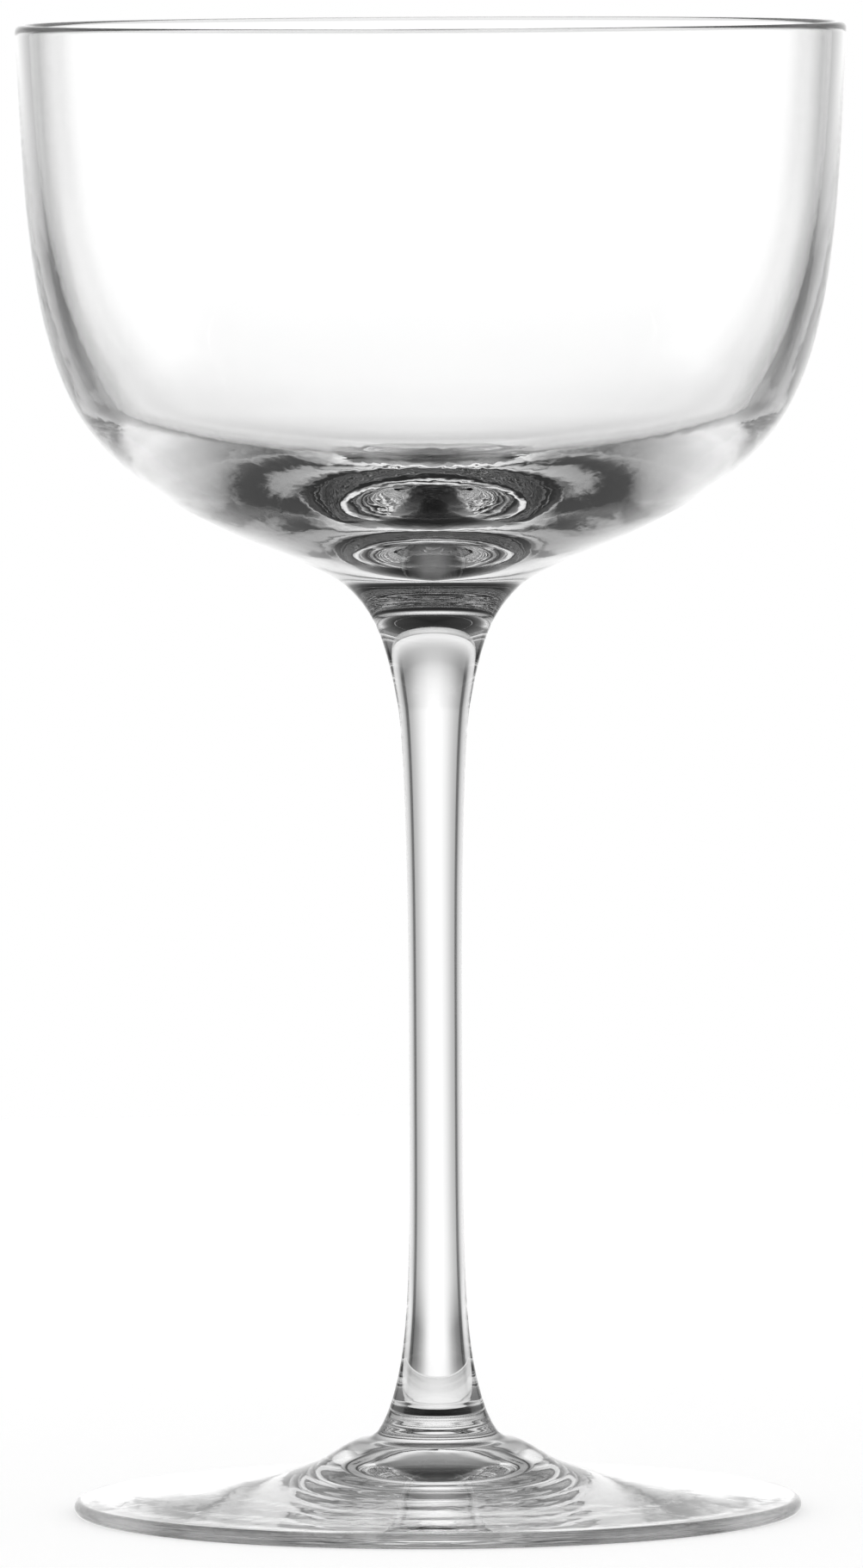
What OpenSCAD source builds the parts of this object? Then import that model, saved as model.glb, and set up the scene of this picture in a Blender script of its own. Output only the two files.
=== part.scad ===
// Stemmed cocktail glass in clear glass: a blown bowl, a drawn stem and a pressed foot.
// The origin is on the table under the middle of the foot, and +Z runs up the stem.

/* [Bowl] */
// Outer diameter across the rim
rim_d = 83.5; // [80:0.5:92]
// Wall thickness at the rim
rim_wall = 1.4; // [1:0.1:1.8]
// Height of the bowl, from the top of the stem to the rim
bowl_h = 56.5; // [50:0.5:66]
// Outer diameter where the wall turns under
shoulder_d = 71.4; // [68:0.5:76]
// Height of that turn above the top of the stem
shoulder_h = 17.6; // [16:0.5:22]
// Wall thickness at the turn
shoulder_wall = 3; // [2.2:0.1:4]
// Outer diameter low on the underside, where it begins to sweep into the stem
sweep_d = 38; // [32:0.5:46]
// Height of that place above the top of the stem
sweep_h = 4.8; // [3.5:0.1:6.5]
// Height of the floor inside, in the middle, above the top of the stem
floor_h = 5.5; // [4.5:0.1:8]

/* [Stem] */
// Length of the stem, from the foot to the bowl
stem_h = 85; // [60:0.5:110]
// Diameter of the flared top, where the bowl is fused on
capital_d = 17.6; // [14:0.2:22]
// Height of that flare
capital_h = 12; // [9:0.5:18]
// Diameter of the stem just under the flare
neck_d = 7.3; // [6:0.1:9]
// Diameter at the waist, where the stem is thinnest
waist_d = 5.4; // [4:0.1:5.9]
// Height of the waist above the foot
waist_h = 41.8; // [34:0.2:50]
// Diameter of the stem just above its heel
ankle_d = 7; // [6.2:0.1:8.5]
// Height of that place above the foot
ankle_h = 7.8; // [6:0.2:14]
// Diameter of the heel, where the foot is fused on
heel_d = 11.7; // [10:0.1:13]

/* [Foot] */
// Diameter of the foot
foot_d = 73.4; // [66:0.2:84]
// Height of the foot, from the table to the stem
foot_h = 8.5; // [7.8:0.1:10]
// Diameter of the rounded collar round the heel
collar_d = 17; // [14:0.2:19]
// Height of that collar above the table
collar_h = 7.2; // [6.4:0.1:7.6]
// Diameter of the hub, where it runs out onto the plate
hub_d = 24; // [22:0.5:30]
// Height of the plate there, above the table
hub_h = 5.2; // [4.2:0.1:5.6]
// Thickness of the plate at its rounded edge
edge_t = 1.5; // [1:0.1:2]
// Width of the flat ring that the glass stands on
ring_w = 2; // [1:0.1:3]
// How far the hollow underside rises at the middle
hollow_h = 2.9; // [1:0.1:3.4]

/* [Curves] */
// Lean of the bowl's wall from upright, at the rim, in degrees
wall_lean = 3; // [0:0.5:6]
// Slope of the outside where the wall turns under, in degrees from level
shoulder_slope = 60; // [50:1:70]
// Slope of the inside at the same place, in degrees from level
inner_slope = 57.8; // [50:0.2:64]
// Slope of the underside where it begins to sweep into the stem, in degrees from level
sweep_slope = 24; // [16:1:30]
// Slope of the glass where the bowl meets the stem, in degrees from level
capital_slope = 42; // [35:1:60]
// Slope of the stem just under the flare, in degrees from level
neck_slope = 80; // [74:1:86]
// Slope of the stem just above its heel, in degrees from level
ankle_slope = 82; // [76:1:88]
// Slope of the glass where the stem meets the foot, in degrees from level
heel_slope = 57; // [40:1:66]
// Slope of the collar, in degrees from level
collar_slope = 26; // [14:1:34]
// Slope of the hub where it runs out onto the plate, in degrees from level
hub_slope = 25; // [16:1:32]
// Slope of the plate at its edge, in degrees from level
edge_slope = 1; // [0:0.5:4]
// Slope of the hollow underside beside the flat ring, in degrees from level
hollow_slope = 2; // [1:1:8]

/* [Hidden] */
$fn = 96;
// Colour of the clear glass
clear_glass = [0.9, 0.94, 0.95, 0.5];
// Straight facets in each stretch of an outline, and in each rounded edge
curve_steps = 14;
edge_steps = 8;
// Quarter and half of a turn, in degrees
quarter = 90;
half = 180;
// Handles of the curves, as shares of the distance that each curve spans
rim_to_shoulder_shares = [0.34, 0.27];
shoulder_to_sweep_shares = [0.27, 0.45];
sweep_to_capital_shares = [0.25, 0.2];
floor_to_shoulder_shares = [0.06, 0.285];
shoulder_to_rim_shares = [0.3, 0.35];
capital_to_neck_shares = [0.3, 0.5];
neck_to_waist_shares = [0.12, 0.45];
waist_to_ankle_shares = [0.5, 0.2];
ankle_to_heel_shares = [0.25, 0.3];
heel_to_collar_shares = [0.5, 0.4];
collar_to_hub_shares = [0.55, 0.3];
hub_to_edge_shares = [0.15, 0.31];
hollow_shares = [0.41, 0.41];
// Heights of the two fused joints and of the rim, above the table
stem_z = foot_h;
bowl_z = stem_z + stem_h;
rim_z = bowl_z + bowl_h;
// Radius of the rounded rim, and the middle of that round
rim_round = rim_wall / 2;
rim_centre = [rim_d / 2 - rim_round, rim_z - rim_round];
// Radius of the rounded edge of the foot, and the middle of that round
edge_round = edge_t / 2;
edge_centre = [foot_d / 2 - edge_round, edge_round];
// Places on the outlines
shoulder_outside = [shoulder_d / 2, bowl_z + shoulder_h];
shoulder_inside = shoulder_outside + along(shoulder_slope + quarter, shoulder_wall);
sweep_outside = [sweep_d / 2, bowl_z + sweep_h];
floor_centre = [0, bowl_z + floor_h];
capital_edge = [capital_d / 2, bowl_z];
neck_edge = [neck_d / 2, bowl_z - capital_h];
waist_edge = [waist_d / 2, stem_z + waist_h];
ankle_edge = [ankle_d / 2, stem_z + ankle_h];
heel_edge = [heel_d / 2, stem_z];
collar_edge = [collar_d / 2, collar_h];
hub_edge = [hub_d / 2, hub_h];
ring_inside = [foot_d / 2 - edge_round - ring_w, 0];
hollow_centre = [0, hollow_h];

// Step of a given length in the direction of an angle
function along(angle, length) = length * [cos(angle), sin(angle)];

// Points of a cubic curve after its start: it leaves start at angle leave and reaches end at angle arrive
function curve(start, leave, end, arrive, shares) =
    let (span = norm(end - start))
    let (first = start + along(leave, shares[0] * span))
    let (second = end - along(arrive, shares[1] * span))
    [for (i = [1:curve_steps])
        let (t = i / curve_steps)
        let (u = 1 - t)
        u * u * u * start + 3 * u * u * t * first + 3 * u * t * t * second + t * t * t * end];

// Points of a rounded edge about a centre, from one angle to another
function rounded(centre, radius, from, to) =
    [for (i = [0:edge_steps]) centre + along(from + (to - from) * i / edge_steps, radius)];

// Inside of the bowl from the middle of its floor to the rim, over the rim and down the outside
function bowl_outline() =
    let (over_rim = rounded(rim_centre, rim_round, half - wall_lean, -wall_lean))
    let (rim_outside = over_rim[edge_steps])
    concat(
        [[0, bowl_z], floor_centre],
        curve(floor_centre, 0, shoulder_inside, inner_slope, floor_to_shoulder_shares),
        curve(shoulder_inside, inner_slope, over_rim[0], quarter - wall_lean, shoulder_to_rim_shares),
        [for (i = [1:edge_steps]) over_rim[i]],
        curve(rim_outside, -quarter - wall_lean, shoulder_outside, shoulder_slope - half, rim_to_shoulder_shares),
        curve(shoulder_outside, shoulder_slope - half, sweep_outside, sweep_slope - half, shoulder_to_sweep_shares),
        curve(sweep_outside, sweep_slope - half, capital_edge, capital_slope - half, sweep_to_capital_shares)
    );

// Side of the stem from the flare under the bowl, down past the waist to the heel
function stem_outline() =
    concat(
        [[0, stem_z], [0, bowl_z], capital_edge],
        curve(capital_edge, capital_slope - half, neck_edge, neck_slope - half, capital_to_neck_shares),
        curve(neck_edge, neck_slope - half, waist_edge, -quarter, neck_to_waist_shares),
        curve(waist_edge, -quarter, ankle_edge, -ankle_slope, waist_to_ankle_shares),
        curve(ankle_edge, -ankle_slope, heel_edge, -heel_slope, ankle_to_heel_shares)
    );

// Top of the foot from the heel out to its edge, round the edge and back under the hollow
function foot_outline() =
    let (over_edge = rounded(edge_centre, edge_round, quarter - edge_slope, -quarter))
    concat(
        [[0, stem_z], heel_edge],
        curve(heel_edge, -heel_slope, collar_edge, -collar_slope, heel_to_collar_shares),
        curve(collar_edge, -collar_slope, hub_edge, -hub_slope, collar_to_hub_shares),
        curve(hub_edge, -hub_slope, over_edge[0], -edge_slope, hub_to_edge_shares),
        [for (i = [1:edge_steps]) over_edge[i]],
        [ring_inside],
        curve(ring_inside, half - hollow_slope, hollow_centre, half, hollow_shares)
    );

// Blown bowl, with a solid base
module bowl() {
    color(clear_glass)
        rotate_extrude()
            polygon(bowl_outline());
}

// Drawn stem, flared at both ends
module stem() {
    color(clear_glass)
        rotate_extrude()
            polygon(stem_outline());
}

// Pressed foot, hollow underneath
module foot() {
    color(clear_glass)
        rotate_extrude()
            polygon(foot_outline());
}

bowl();
stem();
foot();
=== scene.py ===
"""A clear stemmed cocktail glass, blown, drawn and pressed, in a bright-field studio."""
import math

import bpy
import numpy as np
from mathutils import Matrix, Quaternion, Vector


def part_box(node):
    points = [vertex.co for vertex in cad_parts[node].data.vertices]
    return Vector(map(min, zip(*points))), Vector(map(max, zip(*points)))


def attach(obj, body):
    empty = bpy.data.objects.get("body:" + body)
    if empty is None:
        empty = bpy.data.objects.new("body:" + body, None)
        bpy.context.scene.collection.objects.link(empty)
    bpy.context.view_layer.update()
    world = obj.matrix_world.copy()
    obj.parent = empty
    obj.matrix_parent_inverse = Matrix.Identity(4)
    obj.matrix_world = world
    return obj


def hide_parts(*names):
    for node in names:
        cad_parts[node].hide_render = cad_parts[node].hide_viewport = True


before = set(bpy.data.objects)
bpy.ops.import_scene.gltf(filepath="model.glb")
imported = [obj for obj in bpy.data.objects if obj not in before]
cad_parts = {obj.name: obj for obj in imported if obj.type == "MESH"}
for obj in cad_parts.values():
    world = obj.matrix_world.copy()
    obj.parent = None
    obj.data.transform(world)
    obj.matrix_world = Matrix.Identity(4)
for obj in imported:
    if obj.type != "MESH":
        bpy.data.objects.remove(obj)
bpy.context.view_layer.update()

MM = 0.001

# Sizes of the glass, read from the solids in the frame
RIM_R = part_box("bowl")[1].x
RIM_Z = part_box("bowl")[1].z
BOWL_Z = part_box("bowl")[0].z
CAPITAL_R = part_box("stem")[1].x
STEM_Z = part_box("stem")[0].z
FOOT_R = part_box("foot")[1].x

# Sizes that a box doesn't give, as the solids have them
RIM_WALL = 1.4 * MM
SHOULDER = (35.7 * MM, BOWL_Z + 17.6 * MM)
SHOULDER_WALL = 3 * MM
SWEEP = (19 * MM, BOWL_Z + 4.8 * MM)
FLOOR_Z = BOWL_Z + 5.5 * MM
NECK = (3.65 * MM, BOWL_Z - 12 * MM)
WAIST = (2.7 * MM, STEM_Z + 41.8 * MM)
ANKLE = (3.5 * MM, STEM_Z + 7.8 * MM)
HEEL_R = 5.85 * MM
COLLAR = (8.5 * MM, 7.2 * MM)
HUB = (12 * MM, 5.2 * MM)
EDGE_T = 1.5 * MM
RING_W = 2 * MM
HOLLOW_H = 2.9 * MM

# Slopes of the outline where its stretches meet, in degrees from level
WALL_LEAN = 3
SHOULDER_SLOPE = 60
INNER_SLOPE = 57.8
SWEEP_SLOPE = 24
CAPITAL_SLOPE = 42
NECK_SLOPE = 80
ANKLE_SLOPE = 82
HEEL_SLOPE = 57
COLLAR_SLOPE = 26
HUB_SLOPE = 25
EDGE_SLOPE = 1
HOLLOW_SLOPE = 2
QUARTER = 90
HALF = 180

# Handles of the curves, as shares of the distance that each curve spans, as the solids have them
FLOOR_TO_SHOULDER = (0.06, 0.285)
SHOULDER_TO_RIM = (0.3, 0.35)
RIM_TO_SHOULDER = (0.34, 0.27)
SHOULDER_TO_SWEEP = (0.27, 0.45)
SWEEP_TO_CAPITAL = (0.25, 0.2)
CAPITAL_TO_NECK = (0.3, 0.5)
NECK_TO_WAIST = (0.12, 0.45)
WAIST_TO_ANKLE = (0.5, 0.2)
ANKLE_TO_HEEL = (0.25, 0.3)
HEEL_TO_COLLAR = (0.5, 0.4)
COLLAR_TO_HUB = (0.55, 0.3)
HUB_TO_EDGE = (0.15, 0.31)
RING_TO_HOLLOW = (0.41, 0.41)

# Fineness of the lathe-turned skin, plain and where it has fine rings
TURNS = 240
STEP = 0.45 * MM
FINE_STEP = 0.08 * MM
# Steps in a rounded edge, and the fewest in any curve and in a flat run
ROUND_STEPS = 14
LEAST_CURVE_STEPS = 8
LEAST_FLAT_STEPS = 2
# Length that a direction is divided by where it would be nothing
LEAST_LENGTH = 1e-18

# Rings that the mould left on top of the foot: each has the length of its wave, its depth,
# its lobes round the foot and its swing
MOULD_RINGS = [
    (8.7 * MM, 0.011 * MM, 1, 2.2),
    (5.3 * MM, 0.006 * MM, 2, 1.7),
    (3.7 * MM, 0.0045 * MM, 3, 2.6),
    (2.3 * MM, 0.003 * MM, 5, 1.9),
    (1.3 * MM, 0.0012 * MM, 7, 2.4),
]
# Where they begin and end on the foot, from its middle, and how far they take to fade
MOULD_START = 12 * MM
MOULD_END = 36.2 * MM
MOULD_FADE = 1.5 * MM

# Fine rings where the stem is fused to the foot
JOINT_RING = 0.8 * MM
JOINT_DEPTH = 0.02 * MM
JOINT_REACH = 2 * MM

# How much the glass bends light, and its shade where a ripple is least and most clear
GLASS_IOR = 1.51
LEAST_CLEAR = (0.985, 0.985, 0.985, 1)
MOST_CLEAR = (1, 1, 1, 1)
# How fast it dims light: exp(-DIMMING d) of it comes through a length of d metres
DIMMING = 2
# Faint ripples of the making: their number to a metre, their depth, and how the stem's are drawn out
RIPPLES = 300
BOWL_RIPPLE = 0.013 * MM
STEM_RIPPLE = 0.01 * MM
FOOT_RIPPLE = 0.01 * MM
DRAWN_OUT = 0.1
# Heights between which the ripples die away, in the bowl and, past the top of the glass, in the rest
BOWL_CALM = (FLOOR_Z, RIM_Z)
NO_CALM = (RIM_Z, 2 * RIM_Z)
# Most times that light may turn on its way, as much of it is trapped in the glass for long
LIGHT_TURNS = 90

# The white disc under the glass, and its own light
FLOOR_R = 0.5
FLOOR_SIDES = 96
FLOOR_COLOUR = (0.6, 0.6, 0.6, 1)
FLOOR_GLOW = 0.42

# The photograph's camera: where it stands, the point it looks at, its lens and its roll in degrees
CAMERA_PLACE = (0, -1.677, 0.1749)
CAMERA_AIM = (-0.28 * MM, 0, 73.5 * MM)
SENSOR_WIDTH = 36
LENS_LENGTH = 383.5
CAMERA_ROLL = -0.29
CAMERA_REACH = 50


def along(angle, length):
    """A step of that length in the direction of an angle in degrees, in the plane of the outline."""
    turn = math.radians(angle)
    return length * np.array([math.cos(turn), math.sin(turn)])


def stretch(start, leave, end, arrive, shares, step=STEP):
    """Points after start of the cubic (1-t)^3 A + 3(1-t)^2 t B + 3(1-t) t^2 C + t^3 D.

    A and D are its ends, and B and C stand off them on the end slopes, by the shares of the span.
    """
    start, end = np.array(start, float), np.array(end, float)
    span = np.linalg.norm(end - start)
    first = start + along(leave, shares[0] * span)
    second = end - along(arrive, shares[1] * span)
    count = max(LEAST_CURVE_STEPS, int(round(span / step)))
    t = np.linspace(0, 1, count + 1)[1:, None]
    u = 1 - t
    return u**3 * start + 3 * u * u * t * first + 3 * u * t * t * second + t**3 * end


def round_edge(centre, radius, from_angle, to_angle):
    """Points centre + radius (cos a, sin a) for a from one angle to the other."""
    turn = np.radians(np.linspace(from_angle, to_angle, ROUND_STEPS + 1))
    return np.array(centre) + radius * np.stack([np.cos(turn), np.sin(turn)], 1)


def flat_run(start, end):
    """Evenly spaced points after start on the straight line to end."""
    span = np.linalg.norm(np.subtract(end, start))
    count = max(LEAST_FLAT_STEPS, int(round(span / STEP)))
    t = np.linspace(0, 1, count + 1)[1:, None]
    return (1 - t) * np.array(start, float) + t * np.array(end, float)


def bowl_line():
    """From the middle of the floor, up the inside, over the rim and down the outside to the stem."""
    rim_round = RIM_WALL / 2
    rim_centre = (RIM_R - rim_round, RIM_Z - rim_round)
    over_rim = round_edge(rim_centre, rim_round, HALF - WALL_LEAN, -WALL_LEAN)
    floor = (0, FLOOR_Z)
    inside = np.array(SHOULDER) + along(SHOULDER_SLOPE + QUARTER, SHOULDER_WALL)
    capital = (CAPITAL_R, BOWL_Z)
    return np.vstack([
        [floor],
        stretch(floor, 0, inside, INNER_SLOPE, FLOOR_TO_SHOULDER),
        stretch(inside, INNER_SLOPE, over_rim[0], QUARTER - WALL_LEAN, SHOULDER_TO_RIM),
        over_rim[1:],
        stretch(over_rim[-1], -QUARTER - WALL_LEAN, SHOULDER, SHOULDER_SLOPE - HALF, RIM_TO_SHOULDER),
        stretch(SHOULDER, SHOULDER_SLOPE - HALF, SWEEP, SWEEP_SLOPE - HALF, SHOULDER_TO_SWEEP),
        stretch(SWEEP, SWEEP_SLOPE - HALF, capital, CAPITAL_SLOPE - HALF, SWEEP_TO_CAPITAL),
    ])


def stem_line():
    """From the flare under the bowl, down past the waist to the heel."""
    capital = (CAPITAL_R, BOWL_Z)
    heel = (HEEL_R, STEM_Z)
    return np.vstack([
        stretch(capital, CAPITAL_SLOPE - HALF, NECK, NECK_SLOPE - HALF, CAPITAL_TO_NECK),
        stretch(NECK, NECK_SLOPE - HALF, WAIST, -QUARTER, NECK_TO_WAIST),
        stretch(WAIST, -QUARTER, ANKLE, -ANKLE_SLOPE, WAIST_TO_ANKLE),
        stretch(ANKLE, -ANKLE_SLOPE, heel, -HEEL_SLOPE, ANKLE_TO_HEEL, FINE_STEP),
    ])


def foot_line():
    """From the heel out over the collar and hub, round the edge and back under the hollow."""
    edge_round = EDGE_T / 2
    over_edge = round_edge((FOOT_R - edge_round, edge_round), edge_round, QUARTER - EDGE_SLOPE, -QUARTER)
    ring_inside = (FOOT_R - edge_round - RING_W, 0)
    return np.vstack([
        stretch((HEEL_R, STEM_Z), -HEEL_SLOPE, COLLAR, -COLLAR_SLOPE, HEEL_TO_COLLAR, FINE_STEP),
        stretch(COLLAR, -COLLAR_SLOPE, HUB, -HUB_SLOPE, COLLAR_TO_HUB),
        stretch(HUB, -HUB_SLOPE, over_edge[0], -EDGE_SLOPE, HUB_TO_EDGE),
        over_edge[1:],
        flat_run(over_edge[-1], ring_inside),
        stretch(ring_inside, HALF - HOLLOW_SLOPE, (0, HOLLOW_H), HALF, RING_TO_HOLLOW),
    ])


def joint_rings(line):
    """Takes d (1 + sin(2 pi z / l)) / 2 off the radius beside the joint of stem and foot.

    The cut fades as (1 - (z - joint)^2 / reach^2)^2, and is nothing further than the reach.
    """
    height = line[:, 1]
    fade = np.clip(1 - ((height - STEM_Z) / JOINT_REACH) ** 2, 0, 1) ** 2
    cut = JOINT_DEPTH * (1 + np.sin(2 * math.pi * height / JOINT_RING)) / 2
    return np.stack([line[:, 0] - fade * cut, height], 1)


def skin_grid(line):
    """The line turned about Z: x = r cos a, y = r sin a, z = z, for TURNS equal steps of a."""
    turn = np.linspace(0, 2 * math.pi, TURNS, endpoint=False)
    r, z = line[:, :1], line[:, 1:]
    return np.stack([r * np.cos(turn), r * np.sin(turn), z * np.ones(TURNS)], 2)


def press_rings(grid, rows):
    """Lowers those rows by the sum of d (1 + sin(2 pi r / l + s sin(k a + s))) / 2 over the mould's rings.

    Each has a wave l, a depth d, lobes k and a swing s, and they fade in and out along the radius r.
    """
    x, y, z = (grid[rows][..., i] for i in range(3))
    radius, turn = np.hypot(x, y), np.arctan2(y, x)
    fade_in = np.clip((radius - MOULD_START) / MOULD_FADE, 0, 1)
    fade_out = np.clip((MOULD_END - radius) / MOULD_FADE, 0, 1)
    waves = sum(
        depth * (1 + np.sin(2 * math.pi * radius / length + swing * np.sin(lobes * turn + swing))) / 2
        for length, depth, lobes, swing in MOULD_RINGS
    )
    grid[rows] = np.stack([x, y, z - fade_in * fade_out * waves], 2)


def skin_normals(grid):
    """Outward directions: the cross product of the steps round the glass and along its line."""
    round_step = np.roll(grid, -1, 1) - np.roll(grid, 1, 1)
    line_step = np.gradient(grid, axis=0)
    normal = np.cross(line_step, round_step)
    length = np.linalg.norm(normal, axis=2, keepdims=True)
    return normal / np.maximum(length, LEAST_LENGTH)


def closed_piece(name, grid, normals, first_pole, last_pole, seams):
    """Rows of the skin joined into quads, with each end closed by a fan to a point on the axis.

    Of the two seams, first and last, 1 says that the fan is a fused face and 0 that it is plain skin.
    """
    rows, turns = grid.shape[:2]
    points = np.vstack([grid.reshape(-1, 3), [first_pole, last_pole]])
    ring = np.arange(turns)
    after = (ring + 1) % turns
    base = (np.arange(rows - 1) * turns)[:, None]
    quads = np.stack([base + ring, base + turns + ring, base + turns + after, base + after], 2).reshape(-1, 4)
    last_row = (rows - 1) * turns
    first_fan = np.stack([np.full(turns, rows * turns), ring, after], 1)
    last_fan = np.stack([np.full(turns, rows * turns + 1), last_row + after, last_row + ring], 1)
    mesh = bpy.data.meshes.new(name)
    corners = np.concatenate([quads.ravel(), first_fan.ravel(), last_fan.ravel()])
    sides = np.concatenate([np.full(len(quads), 4), np.full(2 * turns, 3)])
    mesh.vertices.add(len(points))
    mesh.vertices.foreach_set("co", points.astype(np.float32).ravel())
    mesh.loops.add(len(corners))
    mesh.loops.foreach_set("vertex_index", corners.astype(np.int32))
    mesh.polygons.add(len(sides))
    mesh.polygons.foreach_set("loop_start", (np.cumsum(sides) - sides).astype(np.int32))
    mesh.polygons.foreach_set("use_smooth", np.ones(len(sides), bool))
    finish = np.concatenate([np.zeros(len(quads)), np.full(turns, seams[0]), np.full(turns, seams[1])])
    mesh.polygons.foreach_set("material_index", finish.astype(np.int32))
    mesh.update(calc_edges=True)
    mesh.validate()
    flat = normals.reshape(-1, 3)
    ends = []
    for pole, seam, row in ((first_pole, seams[0], 0), (last_pole, seams[1], last_row)):
        beside = grid[1, 0, 2] if row == 0 else grid[-2, 0, 2]
        away = math.copysign(1, pole[2] - beside) if seam else math.copysign(1, flat[row, 2])
        straight = np.tile([0, 0, away], (turns, 1))
        rim = straight if seam else flat[row + ring]
        rim_after = straight if seam else flat[row + after]
        pair = (rim, rim_after) if row == 0 else (rim_after, rim)
        ends.append(np.stack([straight, pair[0], pair[1]], 1).reshape(-1, 3))
    loops = np.vstack([flat[quads.ravel()], ends[0], ends[1]])
    mesh.normals_split_custom_set(loops.tolist())
    piece = bpy.data.objects.new(name, mesh)
    bpy.context.scene.collection.objects.link(piece)
    return piece


def make_glass():
    """Draws the whole skin as one surface and parts it at the two fused joints."""
    bowl, stem, foot = bowl_line(), stem_line(), foot_line()
    line = np.vstack([bowl, stem, foot])
    line = joint_rings(line[1:-1])
    grid = skin_grid(line)
    bowl_end = len(bowl) - 1
    stem_end = bowl_end + len(stem)
    plate_end = stem_end + int(np.argmax(foot[:, 0]))
    press_rings(grid, slice(stem_end, plate_end))
    normals = skin_normals(grid)
    cuts = {
        "blown_bowl": (slice(0, bowl_end), (0, 0, FLOOR_Z), (0, 0, BOWL_Z), (0, 1)),
        "drawn_stem": (slice(bowl_end - 1, stem_end), (0, 0, BOWL_Z), (0, 0, STEM_Z), (1, 1)),
        "pressed_foot": (slice(stem_end - 1, len(line)), (0, 0, STEM_Z), (0, 0, HOLLOW_H), (1, 0)),
    }
    return {
        name: closed_piece(name, grid[rows], normals[rows], first, last, seams)
        for name, (rows, first, last, seams) in cuts.items()
    }


def add(tree, kind, **values):
    """A new node with its properties and plain inputs set; an input's name has its spaces as underscores."""
    made = tree.nodes.new(kind)
    for key, value in values.items():
        label = key.replace("_", " ")
        if label in made.inputs:
            made.inputs[label].default_value = value
        else:
            setattr(made, key, value)
    return made


def ramp(tree, source, stops):
    """The grey that a colour ramp gives to a source; each of its stops is a place from 0 to 1 and a level."""
    made = tree.nodes.new("ShaderNodeValToRGB")
    band = made.color_ramp
    for i, (place, level) in enumerate(stops):
        stop = band.elements[i] if i < 2 else band.elements.new(place)
        stop.position = place
        stop.color = (level, level, level, 1)
    tree.links.new(source, made.inputs["Fac"])
    return made.outputs["Color"]


def maths(tree, operation, first, second=None):
    """A Math node on one or two sources, each a socket or a number."""
    made = add(tree, "ShaderNodeMath", operation=operation)
    for i, source in enumerate((first, second)):
        if source is None:
            continue
        if isinstance(source, bpy.types.NodeSocket):
            tree.links.new(source, made.inputs[i])
        else:
            made.inputs[i].default_value = source
    return made.outputs[0]


def blend(tree, share, first, second):
    """A Mix node from first to second by share, each a socket or a number."""
    made = add(tree, "ShaderNodeMix", data_type="FLOAT")
    for label, source in (("Factor", share), ("A", first), ("B", second)):
        if isinstance(source, bpy.types.NodeSocket):
            tree.links.new(source, made.inputs[label])
        else:
            made.inputs[label].default_value = source
    return made.outputs["Result"]


def clear_glass(name, ripple_depth, ripple_height, calm):
    """Clear glass with the faint ripples of its making.

    A small ripple_height draws them out along the stem, and they die away between the heights of calm.
    """
    material = bpy.data.materials.new(name)
    material.use_nodes = True
    tree = material.node_tree
    shader = tree.nodes["Principled BSDF"]
    shader.inputs["Roughness"].default_value = 0.0
    shader.inputs["IOR"].default_value = GLASS_IOR
    shader.inputs["Transmission Weight"].default_value = 1.0
    place = add(tree, "ShaderNodeTexCoord")
    drawn = add(tree, "ShaderNodeMapping")
    drawn.inputs["Scale"].default_value = (1, 1, ripple_height)
    tree.links.new(place.outputs["Object"], drawn.inputs["Vector"])
    cords = add(tree, "ShaderNodeTexNoise", Scale=RIPPLES, Detail=2.0, Roughness=0.5, Distortion=0.4)
    tree.links.new(drawn.outputs["Vector"], cords.inputs["Vector"])
    colour = add(tree, "ShaderNodeMix", data_type="RGBA")
    colour.inputs["A"].default_value = LEAST_CLEAR
    colour.inputs["B"].default_value = MOST_CLEAR
    tree.links.new(cords.outputs["Fac"], colour.inputs["Factor"])
    tree.links.new(colour.outputs["Result"], shader.inputs["Base Color"])
    parts = add(tree, "ShaderNodeSeparateXYZ")
    tree.links.new(place.outputs["Object"], parts.inputs[0])
    worked = add(tree, "ShaderNodeMapRange", From_Min=calm[0], From_Max=calm[1], To_Min=1.0, To_Max=0.0)
    tree.links.new(parts.outputs[2], worked.inputs["Value"])
    height = maths(tree, "MULTIPLY", cords.outputs["Fac"], worked.outputs["Result"])
    bump = add(tree, "ShaderNodeBump", Strength=1.0, Distance=ripple_depth)
    tree.links.new(height, bump.inputs["Height"])
    tree.links.new(bump.outputs["Normal"], shader.inputs["Normal"])
    dim = add(tree, "ShaderNodeVolumeAbsorption", Density=DIMMING)
    dim.inputs["Color"].default_value = (0, 0, 0, 1)
    tree.links.new(dim.outputs["Volume"], tree.nodes["Material Output"].inputs["Volume"])
    return material


def fused_face():
    """The face where two gathers of glass are one: light passes it unbent."""
    material = bpy.data.materials.new("fused_joint")
    material.use_nodes = True
    tree = material.node_tree
    tree.nodes.remove(tree.nodes["Principled BSDF"])
    through = add(tree, "ShaderNodeBsdfTransparent")
    tree.links.new(through.outputs["BSDF"], tree.nodes["Material Output"].inputs["Surface"])
    return material


# Light round the studio by its angle from straight behind the glass, in degrees:
# the backdrop, a dark gap and the side walls
ROUND_STOPS = [
    (0, 1.0), (5, 0.98), (9, 0.9), (15, 0.78), (18, 0.7), (21, 0.62), (25, 0.52), (28, 0.46), (31, 0.42),
    (34, 0.36), (36, 0.07), (40.5, 0.07), (43, 0.25), (46, 0.4), (50, 0.52), (56, 0.68), (62, 0.85),
    (70, 1.0), (180, 1.0),
]
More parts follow.
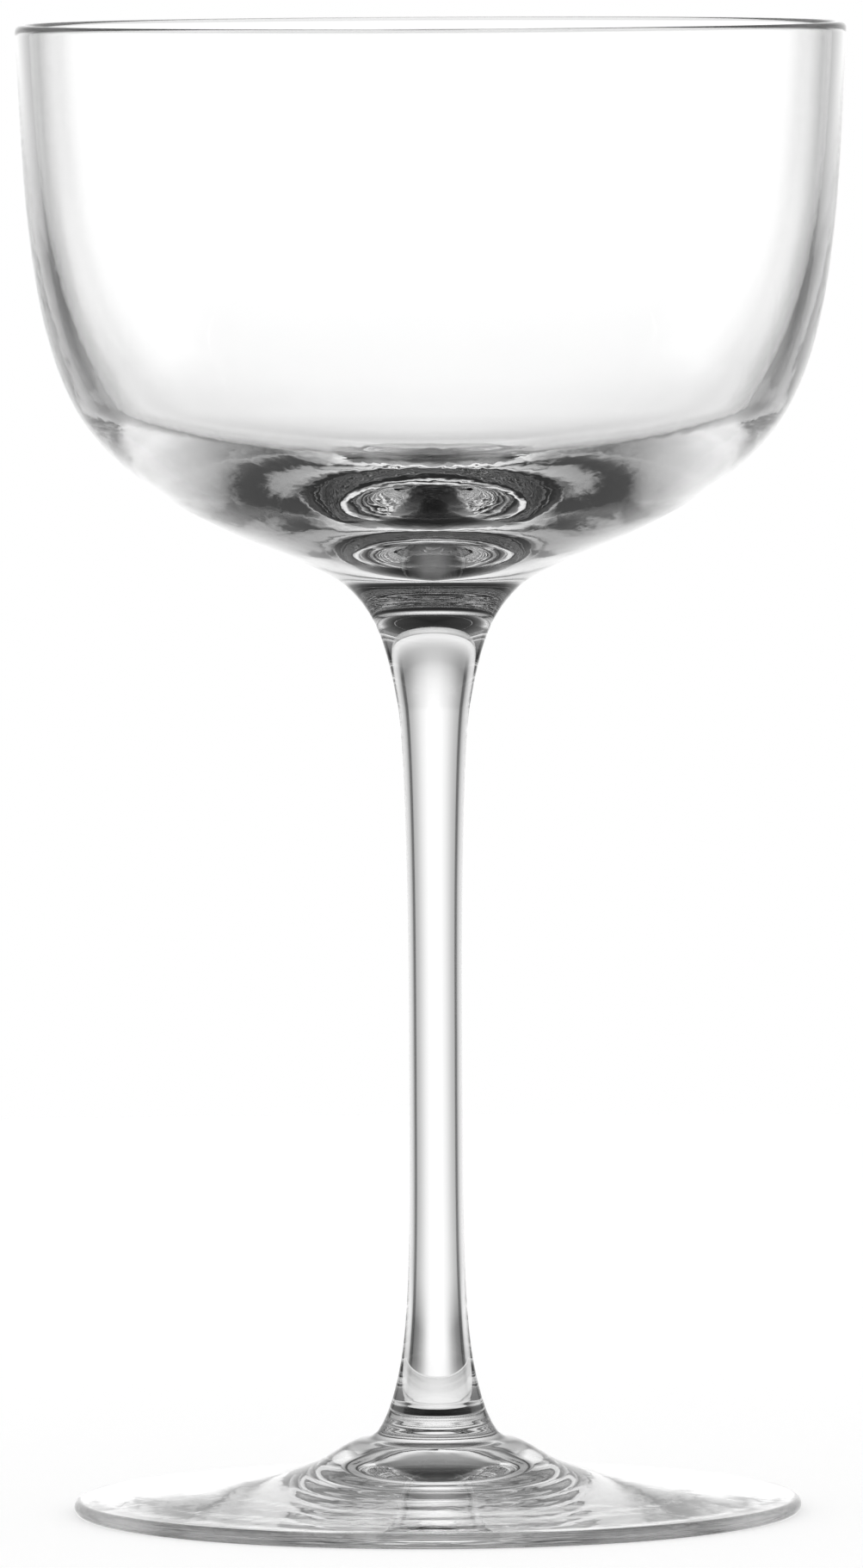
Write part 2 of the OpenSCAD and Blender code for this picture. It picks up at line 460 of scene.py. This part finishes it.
# The same close below level, where the backdrop falls off faster, and how much that shows at a height
LOW_ROUND_STOPS = [
    (0, 1.0), (8, 0.95), (12, 0.8), (16, 0.58), (20, 0.4), (26, 0.24), (34, 0.15), (36, 0.05), (41, 0.05),
    (46, 0.7), (52, 0.9), (60, 1.0), (180, 1.0),
]
LOW_STOPS = [(-31, 0.0), (-22, 1.0), (-12, 1.0), (-8, 0.0)]
# How much of the change round the studio shows at a height, in degrees from level
DEPTH_STOPS = [(-45, 0.35), (-30, 0.6), (-18, 1.0), (18, 1.0), (32, 0.4), (60, 0.3)]
# The light by height, on the backdrop, on the side walls and behind the camera
BACKDROP_STOPS = [
    (-90, 0.0), (-52, 0.02), (-43, 0.07), (-35, 0.24), (-26, 0.74), (-20, 0.92), (-14, 1.0), (6, 1.0),
    (10, 0.84), (14, 0.58), (19, 0.36), (27, 0.28), (36, 0.13), (44, 0.06), (56, 0.03), (90, 0.02),
]
WALL_STOPS = [
    (-90, 0.0), (-52, 0.03), (-41, 0.14), (-31, 0.34), (-22, 0.6), (-10, 0.95), (0, 1.0), (25, 1.0),
    (33, 0.42), (40, 0.14), (50, 0.05), (90, 0.02),
]
FRONT_STOPS = [
    (-90, 0.0), (-52, 0.02), (-41, 0.04), (-31, 0.12), (-21, 0.5), (-10, 0.9), (-4, 0.55), (4, 0.25),
    (14, 0.17), (40, 0.08), (55, 0.04), (90, 0.02),
]
# How plain white the table and the ceiling are for light that no surface has turned back on its way
PLAIN_STOPS = [(-33, 0.97), (-22, 0.0), (14, 0.0), (26, 0.97)]
# Where one part of the studio gives way to the next, in degrees from straight behind
BACKDROP_END, WALL_START = 34, 38
WALL_END, FRONT_START = 83, 91
STUDIO_LEVEL = 1.18


def studio_world():
    """White all round, but in the glass a lit backdrop, a dark gap on each side of it and pale side walls."""
    world = bpy.data.worlds.new("studio")
    bpy.context.scene.world = world
    world.use_nodes = True
    tree = world.node_tree
    background = tree.nodes["Background"]
    place = add(tree, "ShaderNodeTexCoord")
    parts = add(tree, "ShaderNodeSeparateXYZ")
    tree.links.new(place.outputs["Generated"], parts.inputs[0])
    x, y, z = (parts.outputs[i] for i in range(3))
    side = maths(tree, "DIVIDE", maths(tree, "ARCTAN2", maths(tree, "ABSOLUTE", x), y), math.pi)
    height = maths(tree, "ADD", maths(tree, "DIVIDE", maths(tree, "ARCSINE", z), math.pi), 0.5)
    around, low_around = (
        ramp(tree, side, [(angle / HALF, level) for angle, level in stops])
        for stops in (ROUND_STOPS, LOW_ROUND_STOPS)
    )
    low, depth, backdrop, walls, front, table = (
        ramp(tree, height, [((angle + QUARTER) / HALF, level) for angle, level in stops])
        for stops in (LOW_STOPS, DEPTH_STOPS, BACKDROP_STOPS, WALL_STOPS, FRONT_STOPS, PLAIN_STOPS)
    )
    to_walls = ramp(tree, side, [(BACKDROP_END / HALF, 0), (WALL_START / HALF, 1)])
    to_front = ramp(tree, side, [(WALL_END / HALF, 0), (FRONT_START / HALF, 1)])
    by_height = blend(tree, to_front, blend(tree, to_walls, backdrop, walls), front)
    by_angle = blend(tree, depth, 1.0, blend(tree, low, around, low_around))
    lit = maths(tree, "MULTIPLY", maths(tree, "MULTIPLY", by_angle, by_height), STUDIO_LEVEL)
    path = add(tree, "ShaderNodeLightPath")
    straight = maths(tree, "LESS_THAN", path.outputs["Glossy Depth"], 0.5)
    plain = maths(tree, "MULTIPLY", straight, maths(tree, "MAXIMUM", table, to_front))
    studio = blend(tree, plain, lit, 1.0)
    in_glass = maths(tree, "MAXIMUM", path.outputs["Is Glossy Ray"], path.outputs["Is Transmission Ray"])
    tree.links.new(blend(tree, in_glass, 1.0, studio), background.inputs["Color"])
    return world


def pale_floor():
    """A wide disc (r cos a, r sin a, 0) that shows white, with the foot's shadow, to a camera above it.

    The glass sees past it, into the studio.
    """
    turn = np.linspace(0, 2 * math.pi, FLOOR_SIDES, endpoint=False)
    points = np.stack([FLOOR_R * np.cos(turn), FLOOR_R * np.sin(turn), np.zeros(FLOOR_SIDES)], 1)
    mesh = bpy.data.meshes.new("floor")
    mesh.from_pydata(points.tolist(), [], [list(range(FLOOR_SIDES))])
    floor = bpy.data.objects.new("floor", mesh)
    bpy.context.scene.collection.objects.link(floor)
    material = bpy.data.materials.new("floor_white")
    material.use_nodes = True
    tree = material.node_tree
    shader = tree.nodes["Principled BSDF"]
    shader.inputs["Base Color"].default_value = FLOOR_COLOUR
    shader.inputs["Roughness"].default_value = 1.0
    shader.inputs["Emission Color"].default_value = (1, 1, 1, 1)
    shader.inputs["Emission Strength"].default_value = FLOOR_GLOW
    path = add(tree, "ShaderNodeLightPath")
    face = add(tree, "ShaderNodeNewGeometry")
    clear = add(tree, "ShaderNodeBsdfTransparent")
    seen = add(tree, "ShaderNodeMixShader")
    from_above = maths(tree, "SUBTRACT", 1.0, face.outputs["Backfacing"])
    tree.links.new(maths(tree, "MULTIPLY", path.outputs["Is Camera Ray"], from_above), seen.inputs["Fac"])
    tree.links.new(clear.outputs["BSDF"], seen.inputs[1])
    tree.links.new(shader.outputs["BSDF"], seen.inputs[2])
    tree.links.new(seen.outputs["Shader"], tree.nodes["Material Output"].inputs["Surface"])
    mesh.materials.append(material)
    return floor


def photo_camera():
    """The photograph's view: far off, a little above the rim, looking slightly down."""
    data = bpy.data.cameras.new("camera")
    data.sensor_width = SENSOR_WIDTH
    data.lens = LENS_LENGTH
    data.clip_end = CAMERA_REACH
    camera = bpy.data.objects.new("camera", data)
    camera.location = CAMERA_PLACE
    toward = Vector(CAMERA_AIM) - camera.location
    roll = Quaternion((0, 0, 1), math.radians(CAMERA_ROLL))
    camera.rotation_mode = "QUATERNION"
    camera.rotation_quaternion = toward.to_track_quat("-Z", "Y") @ roll
    bpy.context.scene.collection.objects.link(camera)
    bpy.context.scene.camera = camera
    return camera


photo_camera()
studio_world()
pale_floor()
glass = make_glass()
fused = fused_face()
finishes = {
    "blown_bowl": clear_glass("blown_glass", BOWL_RIPPLE, 1.0, BOWL_CALM),
    "drawn_stem": clear_glass("drawn_glass", STEM_RIPPLE, DRAWN_OUT, NO_CALM),
    "pressed_foot": clear_glass("pressed_glass", FOOT_RIPPLE, 1.0, NO_CALM),
}
places = {
    "blown_bowl": ("bowl", "bowl_glass"),
    "drawn_stem": ("stem", "stem_glass"),
    "pressed_foot": ("foot", "foot_glass"),
}
for name, (node, slot) in places.items():
    piece = glass[name]
    piece.data.materials.append(finishes[name])
    piece.data.materials.append(fused)
    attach(piece, "root")
    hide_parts(node)

bpy.context.scene.view_settings.view_transform = "Standard"
cycles = bpy.context.scene.cycles
cycles.max_bounces = LIGHT_TURNS
cycles.transmission_bounces = LIGHT_TURNS
cycles.glossy_bounces = LIGHT_TURNS
cycles.transparent_max_bounces = LIGHT_TURNS
